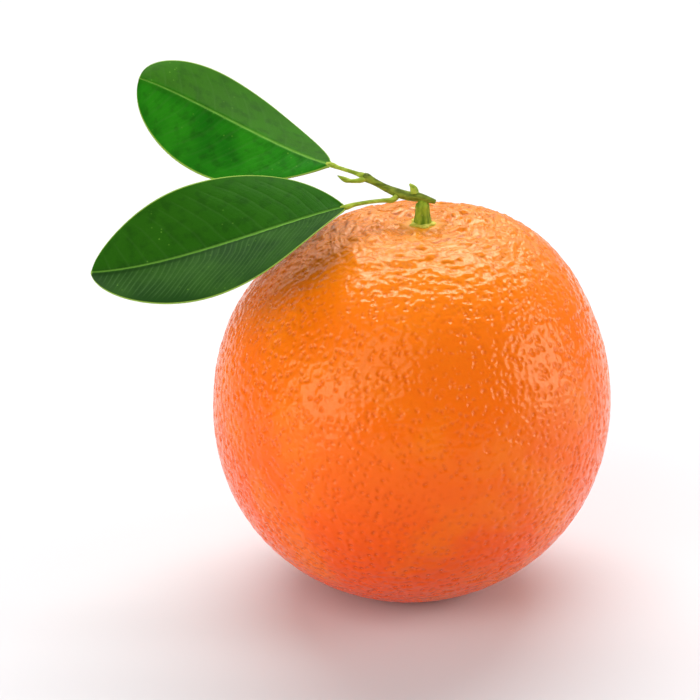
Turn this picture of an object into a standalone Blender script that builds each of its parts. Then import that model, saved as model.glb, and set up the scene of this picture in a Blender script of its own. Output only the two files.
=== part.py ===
"""An orange as picked: the fruit, its calyx and cut stalk, and a leafy twig with two leaves.

The origin is the middle of the small flat spot that the fruit rests on, +Z is up and the
leaves reach out towards -X. Every organ of the sprig is an object of its own.
"""

import math

import bmesh
import bpy
from mathutils import Vector

MM = 0.001
GAP = 0.3 * MM

# The fruit: a turned body, a little square in the shoulders, with a hollow where the stalk enters.
FRUIT_RADIUS = 39.6 * MM
FRUIT_HALF_HEIGHT = 40.4 * MM
SHOULDER_POWER = 2.08
SPOT_RADIUS = 9.0 * MM
FRUIT_TURNS = 64
FRUIT_RINGS = 36
STEM_X = 1.9 * MM
CAVITY_DEPTH = 3.2 * MM
CAVITY_RADIUS = 9.0 * MM
FURROWS = 9
FURROW_DEPTH = 0.7 * MM
FURROW_START = 3.0 * MM
FURROW_PEAK = 8.0 * MM
FURROW_END = 19.0 * MM

# Slow swellings and flats of the peel: polar angle and turn in degrees, width in degrees, height.
LUMPS = (
    (26, 15, 14, 0.5 * MM),
    (38, 8, 30, 0.2 * MM),
    (48, 205, 26, -0.7 * MM),
    (62, 262, 24, 0.35 * MM),
    (75, 330, 34, 0.4 * MM),
    (70, 120, 30, -0.5 * MM),
    (110, 60, 32, 0.5 * MM),
    (118, 190, 34, 0.45 * MM),
    (128, 300, 28, -0.4 * MM),
)

# The calyx is a thin five-lobed button that lines the bottom of the hollow.
CALYX_RADIUS = 3.3 * MM
CALYX_LOBES = 5
CALYX_LOBE_SIZE = 0.55 * MM
CALYX_THICKNESS = 0.8 * MM
CALYX_EDGE_THICKNESS = 0.3 * MM

# The stalk is the cut stub of the branch that carried the fruit.
STALK_HEIGHT = 2.8 * MM
STALK_FOOT_RADIUS = 1.75 * MM
STALK_TOP_RADIUS = 1.35 * MM

# The leaves: a blade on a midrib curve, folded along it, with rounded or pointed ends.
BLADE_THICKNESS = 0.5 * MM
BLADE_STEPS = 28
BLADE_ROWS = 10
BLADE_END_WIDTH = 0.45 * MM


def clear_scene():
    for old in list(bpy.data.objects):
        bpy.data.objects.remove(old, do_unlink=True)


def material(name, colour, roughness):
    """A plain finish for one kind of tissue."""
    made = bpy.data.materials.new(name)
    made.use_nodes = True
    shader = made.node_tree.nodes["Principled BSDF"]
    shader.inputs["Base Color"].default_value = (*colour, 1.0)
    shader.inputs["Roughness"].default_value = roughness
    shader.inputs["Metallic"].default_value = 0.0
    return made


def link(name, data, finish):
    made = bpy.data.objects.new(name, data)
    bpy.context.scene.collection.objects.link(made)
    data.materials.append(finish)
    return made


def smooth(low, high, value):
    """0 below low, 1 above high and an even ramp between them."""
    share = min(1.0, max(0.0, (value - low) / (high - low)))
    return share * share * (3.0 - 2.0 * share)


def direction(polar, turn):
    """The unit vector at a polar angle from +Z and a turn from +X, in degrees."""
    polar, turn = math.radians(polar), math.radians(turn)
    return Vector((math.sin(polar) * math.cos(turn), math.sin(polar) * math.sin(turn), math.cos(polar)))


def profile_height(reach):
    """The body's height above its middle, at this distance from its axis."""
    share = 1.0 - (reach / FRUIT_RADIUS) ** SHOULDER_POWER
    return FRUIT_HALF_HEIGHT * share ** (1.0 / SHOULDER_POWER)


# The body is cut flat where it is as wide as the resting spot, and that cut is at height 0.
FRUIT_MIDDLE = profile_height(SPOT_RADIUS)


def furrow(away, turn):
    """How deep the creases round the stalk are, this far from it."""
    rise = smooth(FURROW_START, FURROW_PEAK, away)
    fall = 1.0 - smooth(FURROW_PEAK, FURROW_END, away)
    wave = 0.5 + 0.5 * math.cos(FURROWS * turn + 1.3 * math.sin(2.0 * turn))
    return FURROW_DEPTH * rise * fall * wave**2


def fruit_point(aim):
    """The point of the peel in this direction from the fruit's middle."""
    flat = math.hypot(aim.x, aim.y)
    wide = (flat / FRUIT_RADIUS) ** SHOULDER_POWER
    tall = (abs(aim.z) / FRUIT_HALF_HEIGHT) ** SHOULDER_POWER
    reach = (wide + tall) ** (-1.0 / SHOULDER_POWER)
    for polar, turn, width, height in LUMPS:
        off = math.degrees(aim.angle(direction(polar, turn))) / width
        reach += height * math.exp(-off * off)
    point = aim * reach
    point.x += STEM_X * smooth(0.4, 0.95, aim.z)
    if aim.z > 0.0:
        away = math.hypot(point.x - STEM_X, point.y)
        turn = math.atan2(point.y, point.x - STEM_X)
        point.z -= CAVITY_DEPTH * math.exp(-((away / CAVITY_RADIUS) ** 2))
        point.z -= furrow(away, turn)
    point.z += FRUIT_MIDDLE
    return point


def make_fruit(finish):
    mesh = bpy.data.meshes.new("fruit")
    shape = bmesh.new()
    bmesh.ops.create_uvsphere(shape, u_segments=FRUIT_TURNS, v_segments=FRUIT_RINGS, radius=1.0)
    for vert in shape.verts:
        vert.co = fruit_point(vert.co.normalized())
    everything = shape.verts[:] + shape.edges[:] + shape.faces[:]
    cut = bmesh.ops.bisect_plane(
        shape, geom=everything, plane_co=(0, 0, 0), plane_no=(0, 0, -1), clear_outer=True, dist=1e-7
    )
    rim = [piece for piece in cut["geom_cut"] if isinstance(piece, bmesh.types.BMEdge)]
    for vert in {vert for edge in rim for vert in edge.verts}:
        vert.co.z = 0.0
    bmesh.ops.contextual_create(shape, geom=rim)
    bmesh.ops.recalc_face_normals(shape, faces=shape.faces)
    shape.to_mesh(mesh)
    shape.free()
    mesh.shade_smooth()
    mesh.set_sharp_from_angle(angle=math.radians(40))
    return link("fruit", mesh, finish)


def hollow_floor(x, y):
    """The peel's height near the stalk, inside the creases."""
    away = math.hypot(x - STEM_X, y)
    return FRUIT_MIDDLE + profile_height(away) - CAVITY_DEPTH * math.exp(-((away / CAVITY_RADIUS) ** 2))


CALYX_TOP = hollow_floor(STEM_X, 0.0) + GAP + CALYX_THICKNESS
STALK_FOOT = CALYX_TOP + GAP
STALK_TOP = STALK_FOOT + STALK_HEIGHT


def make_calyx(finish):
    """Rings of a disc, drawn out into lobes, laid on the hollow and given a thickness."""
    turns, rings = 40, 5
    mesh = bpy.data.meshes.new("calyx")
    shape = bmesh.new()
    middle = shape.verts.new((STEM_X, 0.0, hollow_floor(STEM_X, 0.0) + GAP))
    last = [middle] * turns
    for ring in range(1, rings + 1):
        row = []
        for step in range(turns):
            turn = 2.0 * math.pi * step / turns
            edge = CALYX_RADIUS + CALYX_LOBE_SIZE * math.cos(CALYX_LOBES * turn + 0.6)
            x = STEM_X + edge * ring / rings * math.cos(turn)
            y = edge * ring / rings * math.sin(turn)
            row.append(shape.verts.new((x, y, hollow_floor(x, y) + GAP)))
        for step in range(turns):
            after = (step + 1) % turns
            if ring == 1:
                shape.faces.new((middle, row[step], row[after]))
            else:
                shape.faces.new((last[step], row[step], row[after], last[after]))
        last = row
    under = shape.faces[:]
    top = bmesh.ops.extrude_face_region(shape, geom=under)["geom"]
    for vert in (piece for piece in top if isinstance(piece, bmesh.types.BMVert)):
        share = min(1.0, math.hypot(vert.co.x - STEM_X, vert.co.y) / CALYX_RADIUS)
        vert.co.z += CALYX_THICKNESS + (CALYX_EDGE_THICKNESS - CALYX_THICKNESS) * share**3
    bmesh.ops.recalc_face_normals(shape, faces=shape.faces)
    shape.to_mesh(mesh)
    shape.free()
    mesh.shade_smooth()
    mesh.set_sharp_from_angle(angle=math.radians(50))
    return link("calyx", mesh, finish)


def through(points, parts):
    """A smooth curve through the given (x, y, z, radius) points, with each stretch in so many parts."""
    ends = [points[0], *points, points[-1]]
    run = []
    for before, start, stop, after in zip(ends, ends[1:], ends[2:], ends[3:]):
        for step in range(parts):
            t = step / parts
            run.append(
                [
                    0.5
                    * (
                        2 * b
                        + (c - a) * t
                        + (2 * a - 5 * b + 4 * c - d) * t * t
                        + (3 * b - a - 3 * c + d) * t**3
                    )
                    for a, b, c, d in zip(before, start, stop, after)
                ]
            )
    run.append(list(points[-1]))
    return run


def make_shoot(name, points, finish, parts=2, sides_resolution=3):
    """A round shoot with closed ends, through points given as (x, y, z, radius) in millimetres."""
    run = through(points, parts)
    curve = bpy.data.curves.new(name, "CURVE")
    curve.dimensions = "3D"
    curve.bevel_depth = MM
    curve.bevel_resolution = sides_resolution
    curve.use_fill_caps = True
    spline = curve.splines.new("POLY")
    spline.points.add(len(run) - 1)
    for point, (x, y, z, radius) in zip(spline.points, run):
        point.co = (x * MM, y * MM, z * MM, 1.0)
        point.radius = radius
    return link(name, curve, finish)


def curve_at(points, share):
    """The place on a cubic Bezier curve, and its heading there."""
    a, b, c, d = (Vector(point) for point in points)
    rest = 1.0 - share
    place = a * rest**3 + b * 3 * rest**2 * share + c * 3 * rest * share**2 + d * share**3
    heading = (b - a) * 3 * rest**2 + (c - b) * 6 * rest * share + (d - c) * 3 * share**2
    return place, heading.normalized()


def blade_width(share, widest, base_power, tip_power):
    """The blade's half-width as a share of its largest, from the base at 0 to the tip at 1."""
    bend = math.log(0.5) / math.log(widest)
    along = share**bend
    power = base_power + (tip_power - base_power) * smooth(0.35, 0.65, along)
    return max(0.0, math.sin(math.pi * along)) ** power


def blade_point(leaf, share, across):
    """The point of a blade's middle surface: share along the midrib, across from -1 to 1."""
    place, heading = curve_at(leaf["midrib"], share)
    face = Vector(leaf["face_base"]).lerp(Vector(leaf["face_tip"]), share)
    side = heading.cross(face).normalized()
    normal = side.cross(heading).normalized()
    width = leaf["half_width"] * blade_width(share, leaf["widest"], leaf["base_power"], leaf["tip_power"])
    width = max(width, BLADE_END_WIDTH / MM)
    fold = math.radians(leaf["fold"])
    reach = width * abs(across)
    lift = reach * math.sin(fold) - leaf["camber"] * reach * reach / leaf["half_width"]
    lift += leaf["wave"] * across * across * math.sin(leaf["waves"] * math.pi * share + 1.1 * across)
    return (place + side * (width * across * math.cos(fold)) + normal * lift) * MM


def make_blade(name, leaf, finish):
    mesh = bpy.data.meshes.new(name)
    shape = bmesh.new()
    bmesh.ops.create_grid(shape, x_segments=BLADE_STEPS, y_segments=BLADE_ROWS, size=1.0)
    for vert in shape.verts:
        vert.co = blade_point(leaf, 0.5 + 0.5 * vert.co.x, vert.co.y)
    shape.to_mesh(mesh)
    shape.free()
    mesh.shade_smooth()
    made = link(name, mesh, finish)
    thick = made.modifiers.new("thickness", "SOLIDIFY")
    thick.thickness = BLADE_THICKNESS
    thick.offset = 0.0
    return made


# Places along the sprig, as (x, y, z, radius) in millimetres.
TWIG = (
    (4.3, -0.5, 81.7, 0.45),
    (1.8, 0.0, 82.3, 0.72),
    (-1.1, 0.6, 82.5, 0.82),
    (-3.1, 1.2, 82.9, 0.85),
    (-5.2, 1.8, 83.6, 0.75),
    (-7.4, 2.4, 84.6, 0.7),
    (-9.2, 3.0, 85.4, 0.8),
)
PETIOLE_UPPER = (
    (-9.8, 3.2, 85.6, 0.5),
    (-12.3, 4.2, 86.2, 0.42),
    (-16.0, 5.9, 86.9, 0.45),
)
PETIOLE_LOWER = (
    (-3.9, 0.0, 81.7, 0.5),
    (-5.6, -0.6, 81.9, 0.45),
    (-8.2, -2.0, 82.1, 0.42),
    (-11.1, -3.5, 82.1, 0.45),
    (-13.0, -4.5, 81.8, 0.5),
)
SPUR = (
    (-10.5, 2.2, 85.0, 0.5),
    (-12.0, 1.9, 85.0, 0.42),
    (-13.4, 1.7, 85.4, 0.5),
    (-14.8, 1.5, 86.3, 0.12),
)
BUD = (
    (0.2, 0.3, 83.9, 0.7),
    (-0.2, 0.3, 84.4, 0.65),
    (-0.9, 0.3, 85.2, 0.15),
)

LEAF_UPPER = {
    "midrib": ((-16.3, 6.0, 86.95), (-26.5, 13.7, 86.9), (-45.1, 18.5, 97.5), (-54.6, 18.8, 100.4)),
    "face_base": (0.20, -0.28, 0.85),
    "face_tip": (-0.08, -0.78, 0.80),
    "half_width": 12.2,
    "widest": 0.50,
    "base_power": 0.86,
    "tip_power": 0.46,
    "fold": -16.5,
    "camber": 0.08,
    "wave": 0.5,
    "waves": 3.0,
}
LEAF_LOWER = {
    "midrib": ((-13.3, -4.6, 81.8), (-24.5, -8.5, 80.7), (-46.0, -12.0, 71.7), (-62.2, -11.0, 70.4)),
    "face_base": (-0.30, -0.12, 0.85),
    "face_tip": (0.05, -0.85, 0.82),
    "half_width": 15.0,
    "widest": 0.455,
    "base_power": 0.86,
    "tip_power": 0.60,
    "fold": 18.5,
    "camber": 0.08,
    "wave": 0.5,
    "waves": 3.0,
}


def make_stalk(finish):
    """A stub that flares where it meets the calyx."""
    height = STALK_TOP - STALK_FOOT
    points = [
        (STEM_X / MM, 0.0, (STALK_FOOT + height * share) / MM, radius / MM)
        for share, radius in (
            (0.0, STALK_FOOT_RADIUS),
            (0.35, (STALK_FOOT_RADIUS + 3 * STALK_TOP_RADIUS) / 4),
            (1.0, STALK_TOP_RADIUS),
        )
    ]
    return make_shoot("stalk", points, finish, parts=2, sides_resolution=4)


def main():
    clear_scene()
    peel = material("peel", (0.90, 0.22, 0.01), 0.35)
    calyx_skin = material("calyx_skin", (0.30, 0.34, 0.05), 0.6)
    bark = material("green_bark", (0.10, 0.17, 0.02), 0.55)
    young = material("young_shoot", (0.22, 0.27, 0.03), 0.5)
    leaf = material("leaf", (0.02, 0.14, 0.01), 0.3)
    make_fruit(peel)
    make_calyx(calyx_skin)
    make_stalk(bark)
    make_shoot("twig", TWIG, bark)
    make_shoot("petiole_upper", PETIOLE_UPPER, young)
    make_shoot("petiole_lower", PETIOLE_LOWER, young)
    make_shoot("side_spur", SPUR, young)
    make_shoot("axillary_bud", BUD, young)
    make_blade("leaf_upper", LEAF_UPPER, leaf)
    make_blade("leaf_lower", LEAF_LOWER, leaf)


main()
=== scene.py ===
# %% [markdown]
# # An orange with its stalk and two leaves
#
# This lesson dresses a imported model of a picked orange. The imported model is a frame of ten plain
# solids at their real size: the fruit, its calyx and stalk, a twig, two leaf stalks, a spur, a bud
# and two leaves. Each is replaced here by a finer piece in the same place, with its own finish.
#
# Lengths are in metres, as in the frame. The recipes for surfaces work in millimetres, because pores
# and veins are about that size.

import math

import bmesh
import bpy
from mathutils import Matrix, Vector


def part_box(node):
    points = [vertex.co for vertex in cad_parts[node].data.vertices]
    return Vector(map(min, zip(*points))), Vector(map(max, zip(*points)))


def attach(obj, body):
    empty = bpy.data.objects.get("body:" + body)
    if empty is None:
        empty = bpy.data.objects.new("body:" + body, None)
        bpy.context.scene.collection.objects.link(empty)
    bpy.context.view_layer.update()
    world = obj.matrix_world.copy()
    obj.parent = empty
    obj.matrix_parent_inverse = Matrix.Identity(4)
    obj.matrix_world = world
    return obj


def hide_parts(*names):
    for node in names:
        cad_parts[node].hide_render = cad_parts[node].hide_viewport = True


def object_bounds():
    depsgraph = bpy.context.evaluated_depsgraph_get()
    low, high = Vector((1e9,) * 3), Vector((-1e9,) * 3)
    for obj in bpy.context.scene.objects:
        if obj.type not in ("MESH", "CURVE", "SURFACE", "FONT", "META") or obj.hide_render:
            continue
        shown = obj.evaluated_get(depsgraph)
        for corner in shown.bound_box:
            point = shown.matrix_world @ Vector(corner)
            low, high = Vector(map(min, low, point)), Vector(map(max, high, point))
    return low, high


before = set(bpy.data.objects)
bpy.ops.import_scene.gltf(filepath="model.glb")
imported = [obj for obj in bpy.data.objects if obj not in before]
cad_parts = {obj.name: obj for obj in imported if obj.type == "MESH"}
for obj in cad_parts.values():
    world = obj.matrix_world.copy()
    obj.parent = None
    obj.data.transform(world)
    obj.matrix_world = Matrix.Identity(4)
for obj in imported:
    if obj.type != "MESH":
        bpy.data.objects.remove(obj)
cad_low, cad_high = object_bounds()
MM = 0.001
print("frame nodes:", ", ".join(sorted(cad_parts)))

# %% [markdown]
# ## Writing patterns as sums
#
# A finish is a graph of nodes, and a graph is tedious to wire by hand. Here a small class wraps the
# socket that a node gives out, so that adding or multiplying two of them adds the Math node that
# does it. Vectors and colours would turn grey in a Math node, so they have calls of their own.
# The same calls work in a material and in geometry nodes. That lets one recipe shape a mesh and
# then tint it, with every pore in the same place in both.

# %% A socket that Python can calculate with


class Signal:
    """A value that a node gives out."""

    def __init__(self, graph, socket):
        self.graph = graph
        self.socket = socket

    def math(self, operation, *values):
        return self.graph.node("ShaderNodeMath", {"operation": operation}, values)

    def output(self, name):
        """Another output of the same node."""
        return Signal(self.graph, self.socket.node.outputs[name])

    def __add__(self, other):
        return self.math("ADD", self, other)

    __radd__ = __add__

    def __sub__(self, other):
        return self.math("SUBTRACT", self, other)

    def __rsub__(self, other):
        return self.math("SUBTRACT", other, self)

    def __mul__(self, other):
        return self.math("MULTIPLY", self, other)

    __rmul__ = __mul__

    def __truediv__(self, other):
        return self.math("DIVIDE", self, other)

    def __pow__(self, other):
        return self.math("POWER", self, other)

    def __neg__(self):
        return self * -1.0

    def __abs__(self):
        return self.math("ABSOLUTE", self)


# %% The tree that the nodes go in


class Graph:
    """A node tree, in a material or in geometry nodes."""

    def __init__(self, tree):
        self.tree = tree

    def node(self, kind, settings=None, sockets=(), output=0):
        """Adds a node, and gives its output. Sockets take values or signals, by place or by name."""
        made = self.tree.nodes.new(kind)
        for name, value in (settings or {}).items():
            setattr(made, name, value)
        wired = sockets.items() if isinstance(sockets, dict) else enumerate(sockets)
        for key, value in wired:
            if isinstance(value, Signal):
                self.tree.links.new(value.socket, made.inputs[key])
            else:
                made.inputs[key].default_value = value
        return Signal(self, made.outputs[output]) if made.outputs else None

    def vector(self, operation, *values):
        return self.node("ShaderNodeVectorMath", {"operation": operation}, values)

    def scaled(self, value, share):
        return self.node("ShaderNodeVectorMath", {"operation": "SCALE"}, {0: value, "Scale": share})

    def joined(self, x, y, z):
        return self.node("ShaderNodeCombineXYZ", {}, (x, y, z))

    def ramp(self, value, low, high):
        """0 at low, 1 at high and a smooth rise between them."""
        settings = {"interpolation_type": "SMOOTHSTEP"}
        return self.node("ShaderNodeMapRange", settings, (value, low, high, 0.0, 1.0))

    def peak(self, value, reach):
        """1 where the value is 0, falling smoothly to 0 at this reach."""
        return 1.0 - self.ramp(value, 0.0, reach)

    def noise(self, place, size, detail=2.0, roughness=0.5):
        """Soft random values about 0.5, with lumps of this size."""
        named = {"Vector": place, "Scale": 1.0 / size, "Detail": detail, "Roughness": roughness}
        return self.node("ShaderNodeTexNoise", {}, named)

    def cells(self, place, size, feature="F1", randomness=1.0):
        """The distance to the nearest of many scattered points, in cell sizes."""
        named = {"Vector": place, "Scale": 1.0 / size, "Randomness": randomness}
        return self.node("ShaderNodeTexVoronoi", {"feature": feature}, named)

    def tint(self, colour, other, share):
        """One colour changed into another by a share."""
        return self.node("ShaderNodeMix", {"data_type": "RGBA"}, {0: share, 6: colour, 7: other}, output=2)

    def is_finish(self):
        return self.tree.type == "SHADER"

    def place(self):
        """Where the point is in the frame, in millimetres."""
        if self.is_finish():
            metres = self.node("ShaderNodeTexCoord", output="Object")
        else:
            metres = self.node("GeometryNodeInputPosition")
        return self.scaled(metres, 1.0 / MM)

    def read(self, name):
        """What the mesh keeps under this name at the point."""
        if self.is_finish():
            return self.node("ShaderNodeAttribute", {"attribute_name": name}, output="Fac")
        return self.node("GeometryNodeInputNamedAttribute", {}, {"Name": name}, output="Attribute")

    def split(self, vector):
        x = self.node("ShaderNodeSeparateXYZ", {}, (vector,))
        return x, x.output("Y"), x.output("Z")


# %% [markdown]
# ## From a mesh to a piece
#
# A piece needs its mesh linked to the scene, a finish, a body to ride on, and the name of the frame
# node it stands for. One helper links the mesh, puts it on its body and hides that frame node, so
# that no piece misses a step; the finish is added to each piece after it. Another carves a recipe
# into a mesh with geometry nodes, and keeps the result as
# plain vertices, so that the shape is really there for whoever uses the mesh.

# %% Helpers that every piece uses


def piece_from(name, shape, node, slot):
    """Turns a bmesh into a smooth-shaded piece that stands for a frame node."""
    bmesh.ops.recalc_face_normals(shape, faces=shape.faces)
    mesh = bpy.data.meshes.new(name)
    shape.to_mesh(mesh)
    shape.free()
    mesh.shade_smooth()
    piece = bpy.data.objects.new(name, mesh)
    bpy.context.scene.collection.objects.link(piece)
    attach(piece, "root")
    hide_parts(node)
    return piece


def carve(piece, recipe):
    """Moves every point along its normal by what the recipe says, in millimetres."""
    tree = bpy.data.node_groups.new(piece.name + "_relief", "GeometryNodeTree")
    tree.interface.new_socket("Geometry", in_out="INPUT", socket_type="NodeSocketGeometry")
    tree.interface.new_socket("Geometry", in_out="OUTPUT", socket_type="NodeSocketGeometry")
    graph = Graph(tree)
    push = graph.scaled(graph.node("GeometryNodeInputNormal"), recipe(graph) * MM)
    whole = graph.node("NodeGroupInput", output="Geometry")
    moved = graph.node("GeometryNodeSetPosition", {}, {"Geometry": whole, "Offset": push})
    graph.node("NodeGroupOutput", {}, {"Geometry": moved})
    modifier = piece.modifiers.new("relief", "NODES")
    modifier.node_group = tree
    ready = bpy.context.evaluated_depsgraph_get()
    carved = bpy.data.meshes.new_from_object(
        piece.evaluated_get(ready), preserve_all_data_layers=True, depsgraph=ready
    )
    piece.modifiers.clear()
    piece.data = carved
    carved.shade_smooth()


def report(piece):
    piece.data.calc_loop_triangles()
    size = [round(side / MM, 1) for side in piece.dimensions]
    print(piece.name, "has", len(piece.data.loop_triangles), "triangles and measures", size, "mm")


# %% [markdown]
# ## Camera and light
#
# The fruit is seen a little from above, from the side where both leaves show. A long lens from
# 65 cm keeps its outline round. The light is a plain studio: a wide softbox above and behind, which
# glances off the shoulder of the fruit, one at the right that makes the large highlight, and a
# weaker one at the left. The floor is almost white and wide enough to fill the view.

# %% Where the fruit is, and the camera
fruit_low, fruit_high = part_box("fruit")
FRUIT_CENTRE = Vector((0.0, 0.0, (fruit_low.z + fruit_high.z) / 2))
VIEW_ELEVATION = 23.0
VIEW_DISTANCE = 0.65
VIEW_WIDTH = 0.140
SENSOR = 36.0


def toward(azimuth, elevation):
    """The direction from the fruit to something round it: azimuth 0 is in front, 90 at the right."""
    around = math.radians(azimuth)
    above = math.radians(elevation)
    flat = math.cos(above)
    return Vector((math.sin(around) * flat, -math.cos(around) * flat, math.sin(above)))


def aim(thing, place, target):
    thing.location = place
    thing.rotation_euler = (target - place).to_track_quat("-Z", "Y").to_euler()


lens = bpy.data.cameras.new("camera")
lens.sensor_width = SENSOR
lens.lens = SENSOR * VIEW_DISTANCE / VIEW_WIDTH
lens.clip_start = 0.01
lens.clip_end = 20.0
camera = bpy.data.objects.new("camera", lens)
bpy.context.scene.collection.objects.link(camera)
view_middle = Vector(((cad_low.x + cad_high.x) / 2 - 0.001, 0.0, (cad_low.z + cad_high.z) / 2 - 0.001))
aim(camera, FRUIT_CENTRE + toward(0, VIEW_ELEVATION) * VIEW_DISTANCE, view_middle)
bpy.context.scene.camera = camera
bpy.context.scene.view_settings.view_transform = "Standard"
print("lens", round(lens.lens), "mm, aimed at", [round(side / MM) for side in view_middle], "mm")

# %% Softboxes


def softbox(name, azimuth, elevation, distance, width, height, brightness):
    """A flat light of this brightness per area, so that its size alone sets how much it gives."""
    light = bpy.data.lights.new(name, "AREA")
    light.shape = "RECTANGLE"
    light.size = width
    light.size_y = height
    light.energy = brightness * math.pi * width * height
    box = bpy.data.objects.new(name, light)
    bpy.context.scene.collection.objects.link(box)
    aim(box, FRUIT_CENTRE + toward(azimuth, elevation) * distance, FRUIT_CENTRE)


softbox("light_above", 180, 57, 0.80, 1.00, 0.36, 6.8)
softbox("light_behind", 180, 22, 0.90, 1.60, 0.40, 0.5)
softbox("light_right", 84, 16, 0.60, 0.36, 0.36, 4.6)
softbox("light_left", -55, 12, 0.65, 0.42, 0.34, 3.8)
softbox("light_front", -30, 40, 0.70, 0.50, 0.50, 2.0)

room = bpy.data.worlds.new("room")
room.use_nodes = True
room.node_tree.nodes["Background"].inputs["Color"].default_value = (0.97, 0.98, 1.0, 1.0)
room.node_tree.nodes["Background"].inputs["Strength"].default_value = 0.25
bpy.context.scene.world = room

# %% The floor
FLOOR_SIDE = 8.0


def floor_finish():
    made = bpy.data.materials.new("pale_floor")
    made.use_nodes = True
    made.node_tree.nodes.clear()
    graph = Graph(made.node_tree)
    cloud = graph.noise(graph.place(), 90.0)
    colour = graph.tint((0.71, 0.71, 0.72, 1.0), (0.74, 0.74, 0.75, 1.0), cloud)
    shader = graph.node("ShaderNodeBsdfPrincipled", {}, {"Base Color": colour, "Roughness": 0.6})
    graph.node("ShaderNodeOutputMaterial", {}, {"Surface": shader})
    return made


floor_shape = bmesh.new()
bmesh.ops.create_grid(floor_shape, x_segments=1, y_segments=1, size=FLOOR_SIDE / 2)
floor_mesh = bpy.data.meshes.new("floor")
floor_shape.to_mesh(floor_mesh)
floor_shape.free()
floor = bpy.data.objects.new("floor", floor_mesh)
floor_mesh.materials.append(floor_finish())
bpy.context.scene.collection.objects.link(floor)
print("floor", FLOOR_SIDE, "m square")

# %% [markdown]
# ## The fruit's large shape
#
# An orange is nearly a ball. It is a little square in the shoulders, it has slow swellings, and it
# sinks where the stalk enters, with short creases running out of the hollow. The frame's fruit
# follows a formula for this, and the same formula is repeated here, because a fine mesh projected
# onto the frame's facets would show them. A ball made from a cube has squares of nearly one size
# everywhere, where a globe's squares would shrink to slivers at the stalk, just where the detail is.

# %% The fruit's formula
FRUIT_RADIUS = 39.6 * MM
FRUIT_HALF_HEIGHT = 40.4 * MM
SHOULDER_POWER = 2.08
SPOT_RADIUS = 9.0 * MM
SPOT_ROUNDING = 0.25 * MM
STEM_X = 1.9 * MM
CAVITY_DEPTH = 3.2 * MM
CAVITY_RADIUS = 9.0 * MM
FURROWS = 9
FURROW_DEPTH = 0.7 * MM
FURROW_START = 3.0 * MM
FURROW_PEAK = 8.0 * MM
FURROW_END = 19.0 * MM
LUMPS = (
    (26, 15, 14, 0.5 * MM),
    (38, 8, 30, 0.2 * MM),
    (48, 205, 26, -0.7 * MM),
    (62, 262, 24, 0.35 * MM),
    (75, 330, 34, 0.4 * MM),
    (70, 120, 30, -0.5 * MM),
    (110, 60, 32, 0.5 * MM),
    (118, 190, 34, 0.45 * MM),
    (128, 300, 28, -0.4 * MM),
)


def smooth(low, high, value):
    """0 below low, 1 above high and an even ramp between them."""
    share = min(1.0, max(0.0, (value - low) / (high - low)))
    return share * share * (3.0 - 2.0 * share)


def direction(polar, turn):
    """The unit vector at a polar angle from +Z and a turn from +X, in degrees."""
    polar, turn = math.radians(polar), math.radians(turn)
    return Vector((math.sin(polar) * math.cos(turn), math.sin(polar) * math.sin(turn), math.cos(polar)))


def profile_height(reach):
    """The body's height above its middle, at this distance from its axis."""
    share = 1.0 - (reach / FRUIT_RADIUS) ** SHOULDER_POWER
    return FRUIT_HALF_HEIGHT * share ** (1.0 / SHOULDER_POWER)


FRUIT_MIDDLE = profile_height(SPOT_RADIUS)
SWELLINGS = [(direction(polar, turn), math.radians(width), height) for polar, turn, width, height in LUMPS]


def furrow(away, turn):
    """How deep the creases round the stalk are, this far from it."""
    rise = smooth(FURROW_START, FURROW_PEAK, away)
    fall = 1.0 - smooth(FURROW_PEAK, FURROW_END, away)
    wave = 0.5 + 0.5 * math.cos(FURROWS * turn + 1.3 * math.sin(2.0 * turn))
    return FURROW_DEPTH * rise * fall * wave**2


def fruit_point(aim_at):
    """The point of the peel in this direction from the fruit's middle."""
    flat = math.hypot(aim_at.x, aim_at.y)
    wide = (flat / FRUIT_RADIUS) ** SHOULDER_POWER
    tall = (abs(aim_at.z) / FRUIT_HALF_HEIGHT) ** SHOULDER_POWER
    reach = (wide + tall) ** (-1.0 / SHOULDER_POWER)
    for middle, width, height in SWELLINGS:
        off = aim_at.angle(middle) / width
        reach += height * math.exp(-off * off)
    point = aim_at * reach
    point.x += STEM_X * smooth(0.4, 0.95, aim_at.z)
    if aim_at.z > 0.0:
        away = math.hypot(point.x - STEM_X, point.y)
        turn = math.atan2(point.y, point.x - STEM_X)
        point.z -= CAVITY_DEPTH * math.exp(-((away / CAVITY_RADIUS) ** 2))
        point.z -= furrow(away, turn)
    point.z += FRUIT_MIDDLE
    return point


# %% A fine ball from a cube
PEEL_CUTS = 127
SCAR_RADIUS = 1.6 * MM
SCAR_DEPTH = 0.5 * MM


def rest_on_floor(point):
    """Rounds the peel off where it meets the floor, with the small scar of the flower in the middle."""
    if point.z < 4.0 * SPOT_ROUNDING:
        lift = math.hypot(point.z, 2.0 * SPOT_ROUNDING)
        point.z = max(0.0, (point.z + lift) / 2 - SPOT_ROUNDING * smooth(SPOT_ROUNDING * 4, 0.0, point.z))
    away = math.hypot(point.x, point.y) / SCAR_RADIUS
    if point.z < MM and away < 3.0:
        point.z += SCAR_DEPTH * math.exp(-away * away)
    return point


def ball():
    """A cube cut into small squares and blown up into a ball."""
    shape = bmesh.new()
    bmesh.ops.create_cube(shape, size=2.0)
    bmesh.ops.subdivide_edges(shape, edges=shape.edges, cuts=PEEL_CUTS, use_grid_fill=True)
    for vert in shape.verts:
        evened = Vector([math.tan(side * math.pi / 4) for side in vert.co])
        vert.co = rest_on_floor(fruit_point(evened.normalized()))
    return shape


fruit = piece_from("fruit_peel", ball(), "fruit", "peel")
report(fruit)

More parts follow.
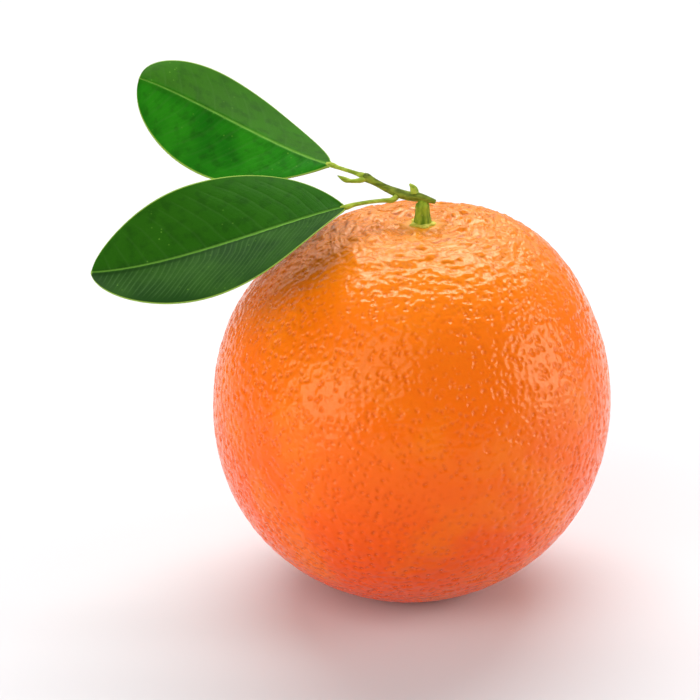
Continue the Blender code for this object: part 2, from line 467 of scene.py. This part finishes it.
# %% [markdown]
# ## The peel's small shapes
#
# Orange peel is full of oil glands, and each shows as a shallow pit. They lie a little over a
# millimetre apart, deepest and coarsest near the stalk, where the peel is also pebbled and drawn
# into creases that run round the stalk. All of these go inwards from the large shape, so that the
# fruit stays as big as it was. The recipe gives a depth at any place. The mesh takes it as shape,
# and the finish takes it again for the detail that is finer than the mesh.

# %% The recipe for the peel
PORE_SPACING = 1.35


def peel_pattern(graph):
    """How far the peel sinks, in millimetres, and the masks that make that up."""
    place = graph.place()
    x, y, z = graph.split(place)
    side = x - STEM_X / MM
    away = (side * side + y * y) ** 0.5
    top = graph.ramp(z, 46.0, 66.0)
    near = (1.0 - graph.ramp(away, 10.0, 34.0)) * top
    clear = 1.0 - (1.0 - graph.ramp(away, 3.0, 5.0)) * top
    drift = graph.noise(place, 2.2, detail=1.0).output("Color")
    shaken = graph.vector("ADD", place, graph.scaled(drift, 0.9))
    pit = graph.peak(graph.cells(shaken, PORE_SPACING), 0.58)
    strength = graph.noise(place, 6.0, detail=1.0)
    pebble = graph.noise(place, 2.4, detail=1.0)
    around = graph.joined(side / away * 2.2, y / away * 2.2, away / 2.6)
    crease = graph.noise(around, 1.0, detail=2.0)
    crease = abs(crease - 0.5) * 2.0
    crease = graph.peak(crease, 0.30)
    ripple = graph.noise(place, 1.1, detail=0.0)
    depth = pit * (0.11 + 0.11 * strength + 0.08 * near) + ripple * (0.10 + 0.20 * near)
    depth = depth + pebble * (0.18 + 0.50 * near) + crease * near * 0.36
    return {"depth": depth * clear, "pit": pit, "near": near, "place": place, "z": z, "away": away}


carve(fruit, lambda graph: -peel_pattern(graph)["depth"])
report(fruit)

# %% The peel's finish


def finish(name, recipe):
    """A new material whose surface is what the recipe gives."""
    made = bpy.data.materials.new(name)
    made.use_nodes = True
    made.node_tree.nodes.clear()
    graph = Graph(made.node_tree)
    graph.node("ShaderNodeOutputMaterial", {}, {"Surface": recipe(graph)})
    return made


SHADED_LOW_ORANGE = (0.90, 0.080, 0.001, 1.0)
LIT_HIGH_ORANGE = (0.93, 0.175, 0.003, 1.0)
RIPE_ORANGE = (0.95, 0.230, 0.006, 1.0)
GLAND_RED_AND_PIT_SHADE = (0.66, 0.075, 0.003, 1.0)
CROWN_YELLOW_AND_SHEEN = (0.96, 0.30, 0.008, 1.0)
COLLAR_YELLOW = (0.78, 0.42, 0.03, 1.0)
SCAR_BROWN = (0.16, 0.07, 0.02, 1.0)


def peel_recipe(graph):
    pattern = peel_pattern(graph)
    place = pattern["place"]
    ripe = graph.noise(place, 16.0, detail=3.0)
    # Painted shade: the peel is tinted darker and redder towards the bottom and brighter towards the top,
    # standing in for the way the light falls on the fruit.
    height = graph.ramp(pattern["z"], 12.0, 74.0)
    colour = graph.tint(SHADED_LOW_ORANGE, LIT_HIGH_ORANGE, height)
    colour = graph.tint(colour, RIPE_ORANGE, graph.ramp(ripe, 0.45, 0.75) * 0.4)
    # The pits are tinted a deeper red: partly the oil glands' own colour, partly painted shade in the
    # dimples.
    colour = graph.tint(colour, GLAND_RED_AND_PIT_SHADE, pattern["pit"] * pattern["pit"] * 0.45)
    # Round the stalk the peel is tinted yellower: partly its own colour, partly a painted highlight standing
    # in for the cream sheen on the shoulder.
    colour = graph.tint(colour, CROWN_YELLOW_AND_SHEEN, pattern["near"] * 0.7)
    collar = graph.peak(pattern["away"], 7.0) * graph.ramp(pattern["z"], 46.0, 66.0)
    colour = graph.tint(colour, COLLAR_YELLOW, collar * 0.6)
    scar = graph.node("ShaderNodeVectorMath", {"operation": "LENGTH"}, (place,), output="Value")
    colour = graph.tint(colour, SCAR_BROWN, 1.0 - graph.ramp(scar, 0.8, 1.9))
    grain = graph.noise(place, 0.25, detail=1.0)
    bump = graph.node(
        "ShaderNodeBump", {}, {"Strength": 1.0, "Distance": MM, "Height": grain * 0.015 - pattern["depth"]}
    )
    rough = 0.17 + pattern["pit"] * 0.12
    named = {
        "Base Color": colour,
        "Roughness": rough,
        "Normal": bump,
        "Subsurface Weight": 0.12,
        "Subsurface Radius": (1.0, 0.35, 0.08),
        "Subsurface Scale": 1.5 * MM,
        "IOR": 1.4,
        "Specular Tint": (1.0, 0.93, 0.55, 1.0),
        "Coat Weight": pattern["near"] * 0.32,
        "Coat Roughness": 0.16,
    }
    return graph.node("ShaderNodeBsdfPrincipled", {}, named)


fruit.data.materials.append(finish("waxy_peel", peel_recipe))

# %% [markdown]
# ## The calyx
#
# The calyx is what is left of the flower: a thick green button with five short lobes. It lines the
# bottom of the hollow, so its outline is turned round the stalk and then laid onto the peel's own
# formula. A spin of one half outline makes the button, and its lobes are drawn out afterwards.

# %% The calyx
CALYX_RADIUS = 2.3 * MM
CALYX_LOBES = 5
CALYX_LOBE_SIZE = 0.9 * MM
CALYX_TURN = 0.6
CALYX_TURNS = 90


def hollow_floor(x, y):
    """The peel's height near the stalk, inside the creases."""
    away = math.hypot(x - STEM_X, y)
    return FRUIT_MIDDLE + profile_height(away) - CAVITY_DEPTH * math.exp(-((away / CAVITY_RADIUS) ** 2))


def calyx_shape():
    """A half outline in shares of the radius and millimetres of height, spun and drawn into lobes."""
    outline = ((0.0, -0.25), (0.55, -0.25), (0.9, -0.2), (1.0, 0.02), (0.97, 0.3), (0.85, 0.52))
    outline += ((0.7, 0.62), (0.55, 0.8), (0.42, 1.2), (0.2, 1.35), (0.0, 1.35))
    shape = bmesh.new()
    line = [shape.verts.new((share, 0.0, height * MM)) for share, height in outline]
    edges = [shape.edges.new(pair) for pair in zip(line, line[1:])]
    bmesh.ops.subdivide_edges(shape, edges=edges, cuts=2)
    bmesh.ops.spin(
        shape,
        geom=shape.verts[:] + shape.edges[:],
        axis=(0, 0, 1),
        cent=(0, 0, 0),
        angle=2 * math.pi,
        steps=CALYX_TURNS,
        use_merge=True,
    )
    bmesh.ops.remove_doubles(shape, verts=shape.verts, dist=1e-6)
    for vert in shape.verts:
        share = math.hypot(vert.co.x, vert.co.y)
        turn = math.atan2(vert.co.y, vert.co.x)
        lobe = 1.0 - abs(math.sin((CALYX_LOBES * turn + CALYX_TURN) / 2))
        lobe += 0.12 * math.sin(11 * turn) + 0.08 * math.sin(17 * turn + 1.0)
        edge = CALYX_RADIUS + CALYX_LOBE_SIZE * (lobe - 0.3) * smooth(0.3, 1.0, share)
        x = STEM_X + edge * share * math.cos(turn)
        y = edge * share * math.sin(turn)
        vert.co = (x, y, hollow_floor(x, y) + vert.co.z)
    return shape


def calyx_relief(graph):
    place = graph.place()
    return 0.14 * graph.noise(place, 0.7, detail=3.0) - 0.07


calyx = piece_from("calyx_button", calyx_shape(), "calyx", "calyx")
carve(calyx, calyx_relief)
report(calyx)

# %% [markdown]
# ## Shoots: stalk, twig, leaf stalks, spur and bud
#
# Every shoot is a round stem that bends, swells and tapers. It starts as a circle at one end, and the
# circle's edge is extruded again and again. Each new ring is moved, turned and scaled to the next
# station on a smooth curve. The first circle has a few low ridges, and so has the whole shoot,
# as young citrus wood does. The points are those of the frame's own shoots. Each end reaches a
# little way into its neighbour, because the real tissues are grown together.

# %% Growing a shoot


def through(points, parts):
    """A smooth curve through the given (x, y, z, radius) points, with each stretch in so many parts."""
    ends = [points[0], *points, points[-1]]
    run = []
    for before, start, stop, after in zip(ends, ends[1:], ends[2:], ends[3:]):
        for step in range(parts):
            t = step / parts
            run.append(
                [
                    0.5
                    * (
                        2 * b
                        + (c - a) * t
                        + (2 * a - 5 * b + 4 * c - d) * t * t
                        + (3 * b - a - 3 * c + d) * t**3
                    )
                    for a, b, c, d in zip(before, start, stop, after)
                ]
            )
    run.append(list(points[-1]))
    return run


def grow(points, sides=28, parts=8, ridges=5, ridge=0.06):
    """A shoot through (x, y, z, radius) points in millimetres, as a bmesh."""
    run = through(points, parts)
    places = [Vector(point[:3]) * MM for point in run]
    radii = [point[3] * MM for point in run]
    headings = [(after - before).normalized() for before, after in zip(places, places[1:])]
    headings.append(headings[-1])
    shape = bmesh.new()
    turned = headings[0].to_track_quat("Z", "Y").to_matrix().to_4x4()
    start = Matrix.Translation(places[0]) @ turned
    made = bmesh.ops.create_circle(shape, cap_ends=True, segments=sides, radius=1.0)
    for index, vert in enumerate(made["verts"]):
        wave = 1.0 + ridge * math.cos(ridges * 2 * math.pi * index / sides)
        vert.co = start @ (vert.co * radii[0] * wave)
    ring = made["verts"]
    for step in range(1, len(run)):
        inside = set(ring)
        rim = [edge for edge in shape.edges if edge.verts[0] in inside and edge.verts[1] in inside]
        grown = bmesh.ops.extrude_edge_only(shape, edges=rim)["geom"]
        ring = [part for part in grown if isinstance(part, bmesh.types.BMVert)]
        bend = headings[step - 1].rotation_difference(headings[step]).to_matrix().to_4x4()
        size = Matrix.Scale(radii[step] / radii[step - 1], 4)
        move = Matrix.Translation(places[step]) @ bend @ size @ Matrix.Translation(-places[step - 1])
        bmesh.ops.transform(shape, matrix=move, verts=ring)
    inside = set(ring)
    rim = [edge for edge in shape.edges if edge.verts[0] in inside and edge.verts[1] in inside]
    bmesh.ops.edgeloop_fill(shape, edges=rim)
    return shape


# %% Points of the stalk and the five shoots
calyx_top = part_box("calyx")[1].z / MM
stalk_low, stalk_high = (corner.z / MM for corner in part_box("stalk"))
stalk_x = STEM_X / MM
STALK = (
    (stalk_x, 0.0, calyx_top - 0.5, 1.72),
    (stalk_x, 0.0, calyx_top + 0.1, 1.66),
    (stalk_x, 0.0, calyx_top + 0.9, 1.50),
    (stalk_x - 0.05, 0.0, stalk_high - 0.9, 1.38),
    (stalk_x - 0.1, 0.0, stalk_high - 0.1, 1.36),
    (stalk_x - 0.3, 0.1, stalk_high + 0.7, 0.95),
    (stalk_x - 0.6, 0.2, stalk_high + 1.1, 0.4),
)
TWIG = (
    (4.4, -0.5, 81.65, 0.42),
    (1.8, 0.0, 82.3, 0.78),
    (0.4, 0.3, 82.45, 0.95),
    (-1.1, 0.6, 82.5, 0.9),
    (-3.1, 1.2, 82.9, 0.88),
    (-5.2, 1.8, 83.6, 0.72),
    (-7.4, 2.4, 84.6, 0.68),
    (-9.0, 2.95, 85.3, 0.88),
    (-9.7, 3.2, 85.6, 0.72),
)
PETIOLE_UPPER = (
    (-9.2, 3.0, 85.4, 0.60),
    (-9.9, 3.25, 85.65, 0.62),
    (-10.9, 3.6, 85.9, 0.45),
    (-12.3, 4.2, 86.2, 0.38),
    (-14.6, 5.2, 86.6, 0.40),
    (-15.9, 5.85, 86.9, 0.52),
    (-17.0, 6.4, 86.95, 0.40),
)
PETIOLE_LOWER = (
    (-3.2, 0.6, 82.3, 0.60),
    (-4.2, -0.1, 81.8, 0.55),
    (-5.6, -0.6, 81.9, 0.42),
    (-8.2, -2.0, 82.1, 0.38),
    (-11.1, -3.5, 82.1, 0.42),
    (-12.8, -4.4, 81.85, 0.55),
    (-14.0, -4.8, 81.7, 0.42),
)
SPUR = (
    (-9.4, 2.7, 85.2, 0.55),
    (-10.5, 2.2, 85.0, 0.5),
    (-12.0, 1.9, 85.0, 0.38),
    (-13.0, 1.75, 85.2, 0.50),
    (-13.7, 1.65, 85.55, 0.45),
    (-14.4, 1.55, 86.0, 0.22),
    (-14.75, 1.5, 86.25, 0.08),
)
BUD = (
    (0.3, 0.3, 83.2, 0.8),
    (0.2, 0.3, 83.7, 0.78),
    (0.0, 0.3, 84.15, 0.68),
    (-0.3, 0.3, 84.6, 0.45),
    (-0.7, 0.3, 85.0, 0.16),
)

# %% Bark, and the skin of young shoots


def bark_relief(graph):
    """Fine wrinkles along the shoot, with a few raised breathing pores."""
    place = graph.place()
    long = graph.vector("MULTIPLY", place, (0.45, 1.6, 1.3))
    wrinkle = graph.noise(long, 0.45, detail=3.0)
    wart = graph.peak(graph.cells(place, 1.1), 0.16)
    return 0.11 * (wrinkle - 0.5) + 0.05 * wart


def shoot_recipe(dark, bright, tip, roughness, grain=(0.35, 1.0, 1.0)):
    """A recipe for a shoot's skin that goes from dark to bright in streaks, with pale warts."""

    def recipe(graph):
        place = graph.place()
        long = graph.vector("MULTIPLY", place, grain)
        streak = graph.noise(long, 0.8, detail=3.0)
        colour = graph.tint(dark, bright, graph.ramp(streak, 0.30, 0.70))
        wart = graph.peak(graph.cells(place, 1.1), 0.18)
        colour = graph.tint(colour, tip, wart * 0.5)
        bump = graph.node(
            "ShaderNodeBump", {}, {"Strength": 0.5, "Distance": MM, "Height": graph.noise(place, 0.16) * 0.03}
        )
        named = {"Base Color": colour, "Roughness": roughness + streak * 0.15, "Normal": bump}
        named.update({"Specular IOR Level": 0.2, "Specular Tint": (0.8, 1.0, 0.4, 1.0)})
        return graph.node("ShaderNodeBsdfPrincipled", {}, named)

    return recipe


DARK_BARK, PALE_BARK = (0.075, 0.105, 0.009, 1.0), (0.25, 0.31, 0.030, 1.0)
DARK_STUB, PALE_STUB = (0.10, 0.19, 0.010, 1.0), (0.33, 0.44, 0.030, 1.0)
DARK_YOUNG, PALE_YOUNG = (0.20, 0.28, 0.018, 1.0), (0.42, 0.52, 0.060, 1.0)
DARK_HUSK, PALE_HUSK = (0.38, 0.42, 0.040, 1.0), (0.72, 0.66, 0.110, 1.0)
PALE_WART = (0.50, 0.50, 0.120, 1.0)
BROWN_SPECK = (0.30, 0.20, 0.040, 1.0)

bark = finish("green_bark", shoot_recipe(DARK_BARK, PALE_BARK, PALE_WART, 0.45))
stub = finish("stalk_skin", shoot_recipe(DARK_STUB, PALE_STUB, PALE_WART, 0.42, grain=(1.0, 1.0, 0.35)))
young = finish("young_skin", shoot_recipe(DARK_YOUNG, PALE_YOUNG, PALE_WART, 0.40))
husk = finish("calyx_skin", shoot_recipe(DARK_HUSK, PALE_HUSK, BROWN_SPECK, 0.50))
calyx.data.materials.append(husk)

for name, points, node, slot, skin in (
    ("stalk_stub", STALK, "stalk", "stalk", stub),
    ("twig_stem", TWIG, "twig", "twig", bark),
    ("leaf_stalk_upper", PETIOLE_UPPER, "petiole_upper", "petiole", young),
    ("leaf_stalk_lower", PETIOLE_LOWER, "petiole_lower", "petiole", young),
    ("spur_shoot", SPUR, "side_spur", "petiole", young),
    ("bud_scales", BUD, "axillary_bud", "petiole", young),
):
    shoot = piece_from(name, grow(points), node, slot)
    carve(shoot, bark_relief)
    shoot.data.materials.append(skin)
    report(shoot)

# %% [markdown]
# ## The leaves
#
# A leaf is a thin blade on a midrib. The frame's blades follow a curve for the midrib, a width that
# grows and shrinks along it, and a fold along the midrib, and the same formula is repeated here
# on a finer grid. The grid is extruded into an upper and an under side. Three values are kept at
# each point: how far it is along the leaf, how far to the side of the midrib, and how far from the
# margin. The veins are drawn in those, so that they follow the leaf wherever it bends.

# %% The blade's formula
BLADE_STEPS = 200
BLADE_ROWS = 96
BLADE_THICKNESS = 0.36
MARGIN_THICKNESS = 0.22
BLADE_END_WIDTH = 0.45
FOLD_ROUNDING = 0.4
LEAF_UPPER = {
    "midrib": ((-16.3, 6.0, 86.95), (-26.5, 13.7, 86.9), (-45.1, 18.5, 97.5), (-54.6, 18.8, 100.4)),
    "face_base": (0.20, -0.28, 0.85),
    "face_tip": (-0.08, -0.78, 0.80),
    "half_width": 12.2,
    "widest": 0.50,
    "base_power": 0.86,
    "tip_power": 0.46,
    "fold": -16.5,
    "camber": 0.08,
    "wave": 0.5,
    "waves": 3.0,
}
LEAF_LOWER = {
    "midrib": ((-13.3, -4.6, 81.8), (-24.5, -8.5, 80.7), (-46.0, -12.0, 71.7), (-62.2, -11.0, 70.4)),
    "face_base": (-0.30, -0.12, 0.85),
    "face_tip": (0.05, -0.85, 0.82),
    "half_width": 15.0,
    "widest": 0.455,
    "base_power": 0.86,
    "tip_power": 0.60,
    "fold": 18.5,
    "camber": 0.08,
    "wave": 0.5,
    "waves": 3.0,
}


def curve_at(points, share):
    """The place on a cubic Bezier curve, and its heading there."""
    a, b, c, d = (Vector(point) for point in points)
    rest = 1.0 - share
    place = a * rest**3 + b * 3 * rest**2 * share + c * 3 * rest * share**2 + d * share**3
    heading = (b - a) * 3 * rest**2 + (c - b) * 6 * rest * share + (d - c) * 3 * share**2
    return place, heading.normalized()


def blade_width(leaf, share):
    """The blade's half-width in millimetres, from the base at 0 to the tip at 1."""
    along = share ** (math.log(0.5) / math.log(leaf["widest"]))
    power = leaf["base_power"] + (leaf["tip_power"] - leaf["base_power"]) * smooth(0.35, 0.65, along)
    width = leaf["half_width"] * max(0.0, math.sin(math.pi * along)) ** power
    return max(width, BLADE_END_WIDTH)


def blade_point(leaf, share, across):
    """The point and the normal of a blade's middle surface, in millimetres."""
    place, heading = curve_at(leaf["midrib"], share)
    face = Vector(leaf["face_base"]).lerp(Vector(leaf["face_tip"]), share)
    side = heading.cross(face).normalized()
    normal = side.cross(heading).normalized()
    width = blade_width(leaf, share)
    fold = math.radians(leaf["fold"])
    reach = width * abs(across)
    lift = (math.hypot(reach, FOLD_ROUNDING) - FOLD_ROUNDING) * math.sin(fold)
    lift -= leaf["camber"] * reach * reach / leaf["half_width"]
    lift += leaf["wave"] * across * across * math.sin(leaf["waves"] * math.pi * share + 1.1 * across)
    return place + side * (width * across * math.cos(fold)) + normal * lift, normal


# %% A fine blade with two sides


def blade_shape(leaf):
    shape = bmesh.new()
    bmesh.ops.create_grid(shape, x_segments=BLADE_STEPS, y_segments=BLADE_ROWS, size=1.0)
    names = ("along", "across", "margin", "upper_side")
    along_kept, across_kept, margin_kept, upper_kept = (shape.verts.layers.float.new(name) for name in names)
    under = set(shape.verts)
    bmesh.ops.extrude_face_region(shape, geom=shape.faces[:])
    length = sum(
        (curve_at(leaf["midrib"], (step + 1) / 40)[0] - curve_at(leaf["midrib"], step / 40)[0]).length
        for step in range(40)
    )
    for vert in shape.verts:
        share = 0.5 + 0.5 * vert.co.x
        across = vert.co.y
        width = blade_width(leaf, share)
        thickness = MARGIN_THICKNESS + (BLADE_THICKNESS - MARGIN_THICKNESS) * (1.0 - across**4)
        place, normal = blade_point(leaf, share, across)
        upper = vert not in under
        vert.co = (place + normal * (thickness / 2 if upper else -thickness / 2)) * MM
        vert[along_kept] = share * length
        vert[across_kept] = width * across
        vert[margin_kept] = min(width * (1.0 - abs(across)), share * length, (1.0 - share) * length)
        vert[upper_kept] = 1.0 if upper else 0.0
    return shape, length


# %% [markdown]
# ## Veins
#
# On the upper side of an orange leaf the midrib lies in a groove, and the side veins are faint
# sunken lines that leave it at a wide angle and bend towards the tip. Underneath they all stand
# proud. Between them is a fine net. The recipe below gives these as masks, and the relief and
# the colours both read them.

# %% The recipe for the veins
VEIN_SPACING = 3.6
MIDRIB_REACH = 0.62


def vein_pattern(graph, length):
    along = graph.read("along")
    across = graph.read("across")
    margin = graph.read("margin")
    upper = graph.read("upper_side")
    out = abs(across)
    flat = graph.joined(along, across, 0.0)
    sway = graph.noise(flat, 9.0, detail=1.0)
    left = across.math("GREATER_THAN", across, 0.0)
    run = along - out * 0.32 - out * out * 0.032 + (sway - 0.5) * 1.4
    step = run / VEIN_SPACING + left * 0.43
    off = abs(step.math("FRACT", step) - 0.5) * VEIN_SPACING
    fade = graph.ramp(margin, 0.3, 3.5)
    vein = graph.peak(off, 0.42) * fade
    fine_step = run / (VEIN_SPACING / 3) + left * 0.2 + sway * 0.5
    fine_off = abs(fine_step.math("FRACT", fine_step) - 0.5) * VEIN_SPACING / 3
    fine = graph.peak(fine_off, 0.26) * fade
    taper = 1.0 - 0.55 * graph.ramp(along, 0.0, length)
    midrib = graph.peak(out / taper, MIDRIB_REACH)
    rib = graph.peak(out / taper, MIDRIB_REACH * 1.5)
    swell = step.math("SINE", step.math("FRACT", step) * math.pi * 2 + math.pi / 2)
    net = graph.peak(graph.cells(flat, 0.75, feature="DISTANCE_TO_EDGE"), 0.10)
    return {
        "along": along,
        "across": across,
        "margin": margin,
        "upper": upper,
        "flat": flat,
        "vein": vein,
        "fine": fine,
        "midrib": midrib,
        "rib": rib,
        "swell": swell * fade,
        "net": net * fade,
        "edge": graph.ramp(margin, 0.0, 0.9),
    }


def blade_relief(length):
    def recipe(graph):
        veins = vein_pattern(graph, length)
        top = -0.20 * veins["midrib"] - 0.025 * veins["vein"] - 0.008 * veins["fine"] + 0.02 * veins["swell"]
        under = 0.38 * veins["rib"] + 0.07 * veins["vein"] + 0.03 * veins["fine"] - 0.03 * veins["swell"]
        return (under + (top - under) * veins["upper"]) * veins["edge"]

    return recipe


# %% The leaves' finish


GROOVE_SHADOW_GREEN = (0.006, 0.035, 0.003, 1.0)
MOTTLE_GREEN = (0.006, 0.040, 0.003, 1.0)
VEIN_GREEN_AND_SHEEN = (0.09, 0.21, 0.05, 1.0)
SPECK_GREEN = (0.22, 0.50, 0.06, 1.0)
MIDRIB_GREEN = (0.17, 0.40, 0.05, 1.0)
MARGIN_GREEN = (0.30, 0.46, 0.07, 1.0)
UNDER_DARK = (0.10, 0.22, 0.035, 1.0)
UNDER_BRIGHT = (0.15, 0.28, 0.06, 1.0)
UNDER_VEIN = (0.24, 0.38, 0.10, 1.0)
UNDER_RIB = (0.36, 0.48, 0.12, 1.0)


def leaf_recipe(length, groove_shade, streaks, dark, bright, painted_light_half_tint):
    def recipe(graph):
        veins = vein_pattern(graph, length)
        flat = veins["flat"]
        cloud = graph.noise(flat, 11.0, detail=3.0)
        upper = graph.tint(dark, bright, graph.ramp(cloud, 0.35, 0.68))
        # Painted light: one half of the folded blade is tinted to stand in for the light falling differently
        # on the two sides of the fold.
        half = graph.ramp(veins["across"], -1.5, 1.5)
        upper = graph.tint(upper, painted_light_half_tint, half * 0.65)
        mottle = graph.noise(flat, 2.4, detail=3.0)
        upper = graph.tint(upper, MOTTLE_GREEN, graph.ramp(mottle, 0.46, 0.70) * 0.35)
        # Faint pale side veins, and on the other half of the blade the fine veins as pale streaks: partly the
        # veins' own colour, partly a painted sheen of light off them.
        lines = veins["vein"] * 0.08 + veins["fine"] * (1.0 - half) * streaks
        upper = graph.tint(upper, VEIN_GREEN_AND_SHEEN, lines)
        speck = graph.peak(graph.cells(flat, 1.5), 0.16) * graph.ramp(graph.noise(flat, 7.0), 0.48, 0.66)
        upper = graph.tint(upper, SPECK_GREEN, speck * 0.55)
        # Painted shadow: a dark line along the midrib's groove on one side of it.
        shade = graph.peak(abs(veins["across"] + 0.75), 0.75)
        upper = graph.tint(upper, GROOVE_SHADOW_GREEN, shade * groove_shade)
        upper = graph.tint(upper, MIDRIB_GREEN, veins["midrib"] * 0.8)
        under = graph.tint(UNDER_DARK, UNDER_BRIGHT, cloud)
        under = graph.tint(under, UNDER_VEIN, veins["vein"] * 0.5 + veins["fine"] * 0.2)
        under = graph.tint(under, UNDER_RIB, veins["rib"])
        colour = graph.tint(under, upper, veins["upper"])
        colour = graph.tint(MARGIN_GREEN, colour, graph.ramp(veins["margin"], 0.05, 0.35))
        height = -0.015 * veins["vein"] - 0.010 * veins["fine"] - 0.010 * veins["net"]
        height = height + 0.03 * graph.noise(flat, 0.9, detail=2.0)
        bump = graph.node("ShaderNodeBump", {}, {"Strength": 0.7, "Distance": MM, "Height": height})
        rough = 0.60 - 0.12 * veins["upper"] + 0.10 * cloud
        named = {"Base Color": colour, "Roughness": rough, "Normal": bump}
        named.update({"IOR": 1.15, "Specular Tint": (0.60, 1.0, 0.30, 1.0)})
        return graph.node("ShaderNodeBsdfPrincipled", {}, named)

    return recipe


# Each look gives the strength of the painted groove shadow, the strength of the painted sheen streaks, a dark
# and a bright green, and the painted tint of the lit half of the blade.
UPPER_LOOK = (0.1, 0.05, (0.008, 0.140, 0.004, 1.0), (0.020, 0.220, 0.006, 1.0), (0.036, 0.115, 0.001, 1.0))
LOWER_LOOK = (0.7, 0.26, (0.010, 0.048, 0.005, 1.0), (0.022, 0.082, 0.008, 1.0), (0.022, 0.135, 0.003, 1.0))

for name, leaf, node, look in (
    ("blade_upper", LEAF_UPPER, "leaf_upper", UPPER_LOOK),
    ("blade_lower", LEAF_LOWER, "leaf_lower", LOWER_LOOK),
):
    blade, length = blade_shape(leaf)
    blade = piece_from(name, blade, node, "leaf")
    carve(blade, blade_relief(length))
    blade.data.materials.append(finish(name + "_skin", leaf_recipe(length, *look)))
    report(blade)

# %% Sizes, and the end
print("frame box", [round(side / MM, 1) for side in cad_high - cad_low])
